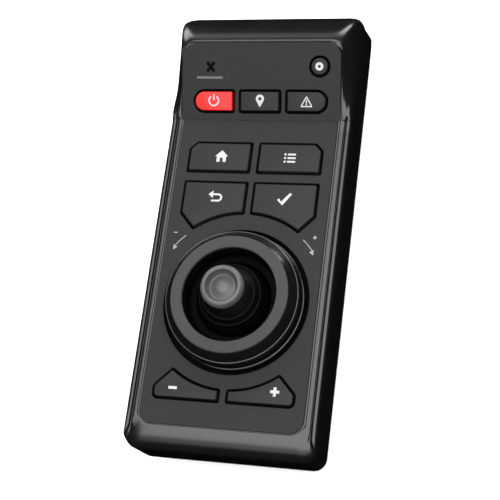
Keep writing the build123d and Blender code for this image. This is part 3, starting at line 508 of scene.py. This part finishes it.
def housing_stations():
    """Sections of the right half, from the middle of the lower end to the middle of the header end."""
    made = []
    edge_x = face_half + seam
    edge_low = face_bottom - seam
    face_inner = face_half - panel_corner
    wall_inner = half_width - body_corner
    end_steps = 8
    for k in range(end_steps + 1):
        share = k / end_steps
        made.append(
            station(
                (face_inner * share, edge_low, face_z),
                (wall_inner * share, -half_length),
                (0, -1),
                bottom_profile,
                bottom_foot,
            )
        )
    corner_steps = 18
    for k in range(1, corner_steps + 1):
        turn = radians(-90 + 90 * k / corner_steps)
        radius = panel_corner + seam
        edge = (
            face_inner + radius * cos(turn),
            face_bottom + panel_corner + radius * sin(turn),
            face_z,
        )
        foot = (wall_inner + body_corner * cos(turn), -half_length + body_corner * (1 + sin(turn)))
        share = smooth((k / corner_steps - 0.5) / 0.5)
        profile = mix(bottom_profile, groove_profile, share)
        foot_z = mix(bottom_foot, side_foot, share)
        made.append(station(edge, foot, (cos(turn), sin(turn)), profile, foot_z))

    # beside the main face
    low_edge, low_foot = face_bottom + panel_corner, -half_length + body_corner
    side_steps = 27
    sheared = 22.0            # length over which the sections turn square to the wall
    for k in range(1, side_steps + 1):
        y = low_edge + (crease_y - low_edge) * k / side_steps
        share = max(0.0, 1 - (y - low_edge) / sheared) ** 2
        foot_y = y + (low_foot - low_edge) * share
        made.append(station((edge_x, y, face_z), (half_width, foot_y), (1, 0), groove_profile, side_foot))

    # beside the header: the groove ends, then the shoulder turns into the bevel
    corner_along = header_length - panel_corner
    corner_y = half_length - body_corner
    header_edge = header_half + seam
    alongs = [0.0, 0.3, 0.6, 0.9, 1.2, 1.6, 2.0, 2.6, 3.2, *range(4, 12), 12.5, *range(14, 26, 2)]
    for along in alongs + [corner_along]:
        point = header_place(header_edge, along).to_translation()
        point.z -= header_step * (1 - smooth(along / 0.6))
        point.x = mix(edge_x, header_edge, smooth(along / 0.9))
        groove_left = mix(groove_profile, shoulder_profile, smooth((along - 0.6) / 1.6))
        turned = smooth((along - 2.0) / 11)
        share = (along / corner_along) ** 2.2
        foot_y = mix(point.y, corner_y, share)
        profile = mix(groove_left, bevel_profile, turned)
        foot_z = mix(side_foot, bevel_foot, turned)
        made.append(station(point, (half_width, foot_y), (1, 0), profile, foot_z))

    for k in range(1, corner_steps + 1):
        turn = radians(90 * k / corner_steps)
        radius = panel_corner + seam
        x = header_half - panel_corner + radius * cos(turn)
        edge = header_place(x, corner_along + radius * sin(turn)).to_translation()
        foot = (wall_inner + body_corner * cos(turn), corner_y + body_corner * sin(turn))
        share = smooth(k / corner_steps)
        profile = mix(bevel_profile, top_profile, share)
        foot_z = mix(bevel_foot, top_foot, share)
        splay = corner_fullness * body_corner * (1 / max(cos(turn), sin(turn)) - 1)
        made.append(station(edge, foot, (cos(turn), sin(turn)), profile, foot_z, splay))
    for k in range(1, end_steps + 1):
        share = 1 - k / end_steps
        edge = header_place((header_half - panel_corner) * share, header_length + seam).to_translation()
        made.append(station(edge, (wall_inner * share, half_length), (0, 1), top_profile, top_foot))
    return made


def ring_mesh(sections):
    """Skin over a closed ring of closed sections."""
    count = len(sections[0])
    vertices = [point for section in sections for point in section]
    faces = []
    for k in range(len(sections)):
        here = k * count
        there = (k + 1) % len(sections) * count
        for m in range(count):
            following = (m + 1) % count
            faces.append((here + m, there + m, there + following, here + following))
    return raw_mesh(vertices, faces)


right_half = housing_stations()
left_half = [[(-x, y, z) for x, y, z in section] for section in reversed(right_half[1:-1])]
post_places = [(x * side, y) for side in (-1, 1) for x, y in ((30.6, -84.5), (31.0, -5.0), (31.0, 39.0))]
main_standoffs = [(x * side, y) for side in (-1, 1) for x, y in ((24.0, -78.0), (25.5, -10.0), (24.0, 38.0))]
header_standoffs = [(-28.0, 15.2), (28.0, 15.2), (0.0, 25.0)]
web_low, web_high = -plate - web, -plate - plate_seat
post_sizes = (post_radius, post_bore, post_foot - face_z, web_low + rooted)
standoff_sizes = (standoff_radius, standoff_bore, -standoff_length, web_low + rooted)
lamp_hole = arc(*lamp_at, 0.95, 0, 342, 18)
main_web_half, header_web_half = 31.4, 32.2
main_web_low, main_web_high = face_bottom + 0.8 - dial_y, crease_y - dial_y
main_web = [
    (-main_web_half, main_web_low), (main_web_half, main_web_low),
    (main_web_half, main_web_high), (-main_web_half, main_web_high),
]
header_web = [
    (-header_web_half, 0.3), (header_web_half, 0.3), (header_web_half, 29.9), (-header_web_half, 29.9),
]
housing_meshes = [
    ring_mesh(right_half + left_half),
    plate_mesh(
        [main_web, arc(0, 0, well_radius, 0, 357, 3), *[loop for loop, stem in main_keys.values()]],
        web_low, web_high, main_place(),
    ),
    plate_mesh(
        [header_web, lamp_hole, *[loop for loop, stem in header_keys.values()]],
        web_low, web_high, header_place(),
    ),
    *[tube_mesh(*post_sizes, Matrix.Translation((x, y, face_z))) for x, y in post_places],
    *[tube_mesh(*standoff_sizes, Matrix.Translation((x, y, face_z))) for x, y in main_standoffs],
    *[tube_mesh(*standoff_sizes, header_place(x, y)) for x, y in header_standoffs],
]
piece("housing_shell", housing_meshes, "gloss_shell", "housing", "front_housing", 42)

well_outer, well_base, well_lip = well_radius + 1.8, -well_floor - 1.8, -plate - 0.1
well_profile = [
    (well_opening, well_base), (well_outer, well_base), (well_outer, well_lip),
    (well_radius, well_lip), (well_radius, -well_floor), (well_opening, -well_floor),
]
well_mesh = lathe_mesh(well_profile, main_place())
# painted shade: the well is painted near black for the shade inside it
piece("dial_well", [well_mesh], "inner_plastic", "housing", None)


# ---------------------------------------------------------------- keys
def make_key(name, loop, stem, place, finish):
    """Key cap with rounded edges, on a base with a flange behind the opening and a stem; the base is painted
    near black, painted shade seen through the key gap.
    """
    cap = plate_mesh([grown(loop, -key_gap)], -flange_front, key_height, place, key_edge)
    stem_profile = [
        (0, -stem_end), (stem_radius - 0.2, -stem_end), (stem_radius, -stem_end + 0.2),
        (stem_radius, -flange_back + 0.2), (0, -flange_back + 0.2),
    ]
    base = [
        plate_mesh([grown(loop, flange_grow)], -flange_back, -flange_front, place),
        lathe_mesh(stem_profile, place @ Matrix.Translation((*stem, 0)), 40),
    ]
    piece(name + "_cap", [cap], finish, name, name)
    # the base is painted near black: painted shade in the gap round the cap
    piece(name + "_base", base, "inner_plastic", name, None)


for name, (loop, stem) in main_keys.items():
    make_key(name, loop, stem, main_place(), "key_top")
for name, (loop, stem) in header_keys.items():
    make_key(name, loop, stem, header_place(), "red_key" if name == "standby_key" else "key_top")


# ---------------------------------------------------------------- dial
dial_profile = [
    (19.4, -5.3), (21.6, -5.3), (21.6, -2.6), (27.1, -2.6), (27.3, -2.4), (27.3, 0.45), (27.24, 0.68),
    (27.06, 0.8), (26.82, 0.86), (26.66, 1.1), (26.56, 1.5), (26.45, 5.6), (26.4, 6.1), (26.27, 6.38),
    (26.05, 6.5), (25.85, 6.46), (25.7, 6.58), (25.5, 6.85), (23.35, 9.25), (23.2, 9.38), (23.1, 9.3),
    (23.1, 9.0), (18.5, 9.0), (18.5, 0.3), (19.4, 0.0),
]
dial_mesh = lathe_mesh(dial_profile, main_place(), 240)
piece("dial_body", [dial_mesh], "dial_gloss", "dial", "dial_ring", 40)
grip_profile = [
    (18.5, 9.0), (23.0, 9.0), (23.0, 9.95), (22.93, 10.15), (22.75, 10.27), (22.5, 10.3), (19.0, 10.3),
    (18.75, 10.27), (18.57, 10.15), (18.5, 9.95),
]
grip_mesh = lathe_mesh(grip_profile, main_place(), 240)
piece("dial_grip_ring", [grip_mesh], "soft_ring", "dial", "dial_top_ring", 40)


# ---------------------------------------------------------------- joystick
dome_radius = 14.4
dome_skin = 1.5
ridge_reach, ridge_height = 0.55, 0.4
ridge_angles = [atan2(10.25, 10.0), atan2(12.0, 7.85)]


def dome_profile():
    """Half section of the joystick boot with its two raised rings."""
    start, end = radians(17), radians(102)
    outer = []
    count = 150
    for k in range(count + 1):
        turn = start + (end - start) * k / count
        ridge = 0.0
        for middle in ridge_angles:
            off = abs(turn - middle) * dome_radius / ridge_reach
            ridge = max(ridge, ridge_height * sqrt(max(0.0, 1 - off * off)))
        outer.append(((dome_radius + ridge) * sin(turn), (dome_radius + ridge) * cos(turn)))
    inner = []
    count = 24
    for k in range(count + 1):
        turn = end + (start * 1.13 - end) * k / count
        inner.append(((dome_radius - dome_skin) * sin(turn), (dome_radius - dome_skin) * cos(turn)))
    return outer + inner


dome_mesh = lathe_mesh(dome_profile(), main_place(), 180)
piece("joystick_boot", [dome_mesh], "boot", "carrier", "joystick_dome", 50)


def catmull_rom(p, q, r, s, t):
    """Value between q and r at share t, with p and s as their neighbours."""
    square = 2 * p - 5 * q + 4 * r - s
    cube = 3 * q - p - 3 * r + s
    return 0.5 * (2 * q + (r - p) * t + square * t * t + cube * t ** 3)


def spline_profile(points, count=10):
    """A smooth line through the given points."""
    ends = [points[0]] + points + [points[-1]]
    made = []
    for a, b, c, d in zip(ends, ends[1:], ends[2:], ends[3:]):
        for k in range(count):
            t = k / count
            made.append(tuple(catmull_rom(*values, t) for values in zip(a, b, c, d)))
    return made + [points[-1]]


# (radius, drop below the top of the stick), from the middle of the dish over the rim to the neck
cap_outline = [
    (0.0, 1.9), (2.0, 2.1), (3.8, 2.9), (4.9, 3.2), (5.7, 2.2), (6.2, 0.75), (6.8, 0.5), (7.6, 0.75),
    (8.1, 1.5), (cap_radius, 2.6), (8.15, 3.9), (7.4, 5.0), (6.0, 5.5), (4.6, 5.6), (2.2, 5.6),
    (2.2, 4.2), (0.0, 4.2),
]
cap_curve = 14                # so many of the points lie on the smooth line, and the rest are the bore
cap_points = [(radius, stick_top - drop) for radius, drop in cap_outline]
cap_profile = spline_profile(cap_points[:cap_curve]) + cap_points[cap_curve:]
cap_mesh = lathe_mesh(cap_profile, main_place(), 144)
piece("joystick_grip", [cap_mesh], "soft_cap", "stick", "joystick_cap", 50)


# ---------------------------------------------------------------- printed legends
paint = 0.03


def box_loop(x, y, width, height, turn=0.0):
    """A straight bar as a loop, turned by an angle in degrees."""
    c, s = cos(radians(turn)), sin(radians(turn))
    corners = [(-1, -1), (1, -1), (1, 1), (-1, 1)]
    halves = [(width / 2 * u, height / 2 * v) for u, v in corners]
    return [(x + c * u - s * v, y + s * u + c * v) for u, v in halves]


def stroke(points, width):
    """An open line as a loop of even width."""
    left, right = [], []
    for k, here in enumerate(points):
        before = Vector(points[max(k - 1, 0)])
        after = Vector(points[min(k + 1, len(points) - 1)])
        along = (after - before).normalized()
        first = (Vector(here) - before).normalized() if k else along
        spread = width / 2 / max(abs(along.dot(first)), 0.6)
        left.append((here[0] - along.y * spread, here[1] + along.x * spread))
        right.append((here[0] + along.y * spread, here[1] - along.x * spread))
    return left + right[::-1]


def legend(name, groups, place, height, body, finish="legend_paint"):
    """A thin printed mark. Each group is an outline followed by its holes."""
    meshes = [plate_mesh(loops, height - 0.01, height + paint, place) for loops in groups]
    piece(name, meshes, finish, body)


def shifted(loop, x, y, scale=1.0):
    """A loop scaled and moved."""
    return [(x + u * scale, y + v * scale) for u, v in loop]


def place_groups(groups, x, y, scale=1.0):
    """Every loop of a mark scaled and moved."""
    return [[shifted(loop, x, y, scale) for loop in loops] for loops in groups]


house_half = [(0.0, 1.0), (1.0, 0.05), (0.72, 0.05), (0.72, -0.85), (0.22, -0.85), (0.22, -0.2)]
house = [[house_half + mirrored(house_half[:0:-1], -1)]]
menu_list = [[box_loop(-0.75, y, 0.32, 0.32)] for y in (0.62, 0.0, -0.62)]
menu_list += [[box_loop(0.3, y, 1.3, 0.3)] for y in (0.62, 0.0, -0.62)]
return_arrow = [
    [stroke([(-0.5, 0.42), (0.35, 0.42), *arc(0.35, -0.08, 0.5, 75, -90, 15), (-0.65, -0.58)], 0.28)],
    [[(-0.45, 1.0), (-0.45, -0.16), (-1.15, 0.42)]],
]
tick = [[stroke([(-0.9, -0.05), (-0.3, -0.72), (0.95, 0.85)], 0.36)]]
pin = [
    [
        [*arc(0, 0.32, 0.66, -35, 215, 15), (0.0, -1.0)],
        arc(0, 0.32, 0.26, 0, 340, 20),
    ],
]
alert = [
    [rounded([(-1.05, -0.85, 0.15), (1.05, -0.85, 0.15), (0.0, 0.98, 0.15)]),
     rounded([(-0.72, -0.65, 0.05), (0.72, -0.65, 0.05), (0.0, 0.6, 0.05)])],
    [box_loop(0, 0.0, 0.2, 0.6)],
    [arc(0, -0.46, 0.13, 0, 330, 30)],
]
standby = [
    [[*arc(0, 0, 1.0, 125, 415, 12), *arc(0, 0, 0.74, 415, 125, 12)]],
    [box_loop(0, 0.62, 0.26, 0.95)],
]
lift = key_height
legend("home_mark", place_groups(house, -13.6, 59.6, 2.7), main_place(), lift, "home_key")
legend("menu_mark", place_groups(menu_list, 14.6, 59.5, 2.5), main_place(), lift, "menu_key")
legend("back_mark", place_groups(return_arrow, -13.6, 42.2, 2.7), main_place(), lift, "back_key")
legend("select_mark", place_groups(tick, 14.4, 42.2, 2.7), main_place(), lift, "select_key")
legend("minus_mark", [[box_loop(-19.8, -35.5, 3.4, 1.1)]], main_place(), lift, "minus_key")
plus_arm, plus_half = 0.55, 1.75
plus_loop = [
    (plus_arm, plus_arm), (plus_arm, plus_half), (-plus_arm, plus_half), (-plus_arm, plus_arm),
    (-plus_half, plus_arm), (-plus_half, -plus_arm), (-plus_arm, -plus_arm), (-plus_arm, -plus_half),
    (plus_arm, -plus_half), (plus_arm, -plus_arm), (plus_half, -plus_arm), (plus_half, plus_arm),
]
legend("plus_mark", [[shifted(plus_loop, 20.1, -34.3)]], main_place(), lift, "plus_key")
legend("standby_mark", place_groups(standby, -19.2, 7.8, 2.3), header_place(), lift, "standby_key")
legend("pin_mark", place_groups(pin, 0.2, 7.8, 2.6), header_place(), lift, "mark_key")
legend("alert_mark", place_groups(alert, 19.4, 7.6, 2.5), header_place(), lift, "alert_key")
legend(
    "power_mark",
    [[arc(*power_at, 1.65, 0, 350, 10), arc(*power_at, 0.6, 0, 345, 15)]],
    header_place(), lift, "power_key",
)

# turn arrows beside the dial, with a small minus and plus
for side, name in ((-1, "turn_left_mark"), (1, "turn_right_mark")):
    head = (side * 28.4, 19.8)
    line = arc(0, 0, 35.2, degrees(atan2(26.0, side * 23.9)), degrees(atan2(21.2, side * 27.8)), 2)
    barbs = [(head[0], head[1]), (side * 28.4, 22.1), (side * 26.8, 21.0)]
    sign = [[box_loop(side * 28.3, 27.0, 1.5, 0.4)]]
    if side > 0:
        sign = [[shifted(plus_loop, side * 28.3, 27.0, 0.42)]]
    legend(name, [[stroke(line, 0.32)], [barbs], *sign], main_place(), 0.0, "housing", "turn_paint")

# status symbol and its caption line on the header
petals = [[box_loop(-20.8, 21.4, 4.9, 1.35, turn)] for turn in (52, 128)]
legend("status_mark", petals, header_place(), 0.0, "housing", "dark_paint")
legend("status_line", [[box_loop(-21.2, 17.1, 11.0, 0.9)]], header_place(), 0.0, "housing", "faint_paint")


# ---------------------------------------------------------------- floor, world and lights
floor_mesh = bpy.data.meshes.new("floor")
floor_corners = [(-3, -3, 0), (3, -3, 0), (3, 3, 0), (-3, 3, 0)]
floor_mesh.from_pydata(floor_corners, [], [(0, 1, 2, 3)])
floor = bpy.data.objects.new("floor", floor_mesh)
floor.location.z = -0.0002
floor_mesh.materials.append(material("floor_paper", grey(0.93), 0.9, 0.01, 300, 0.05, 0.05))
floor.visible_glossy = False
bpy.context.scene.collection.objects.link(floor)

world = bpy.data.worlds.new("studio")
world.use_nodes = True
world.node_tree.nodes["Background"].inputs["Color"].default_value = (1, 1, 1, 1)
world.node_tree.nodes["Background"].inputs["Strength"].default_value = 0.75
world.cycles_visibility.glossy = False
bpy.context.scene.world = world
bpy.context.scene.view_settings.view_transform = "Standard"


def softbox(name, place, target, width, height, watts, glossy=True):
    """A soft rectangular light that the camera can't see. glossy says that reflections show it."""
    data = bpy.data.lights.new(name, "AREA")
    data.shape = "RECTANGLE"
    data.size = width
    data.size_y = height
    data.energy = watts
    lamp = bpy.data.objects.new(name, data)
    lamp.location = place
    lamp.rotation_euler = (Vector(target) - Vector(place)).to_track_quat("-Z", "Y").to_euler()
    lamp.visible_camera = False
    lamp.visible_glossy = glossy
    bpy.context.scene.collection.objects.link(lamp)


pad_middle = (0, 0, 0.05)
softbox("overhead_light", (0.1, 0.0, 0.9), (0.1, 0.0, 0), 1.1, 1.0, 16.5)
softbox("front_fill", (0.1, -0.66, 0.84), pad_middle, 1.1, 0.4, 2.2)
softbox("back_fill", (0, 0.98, 0.6), pad_middle, 1.2, 0.5, 2.2)
softbox("behind_light", (0, 1.15, 0.75), pad_middle, 1.2, 0.5, 9, False)
softbox("back_right_light", (0.3, 0.85, 0.26), pad_middle, 0.4, 0.5, 4.5)
softbox("back_left_light", (-0.54, 0.64, 0.2), pad_middle, 0.42, 0.4, 3)
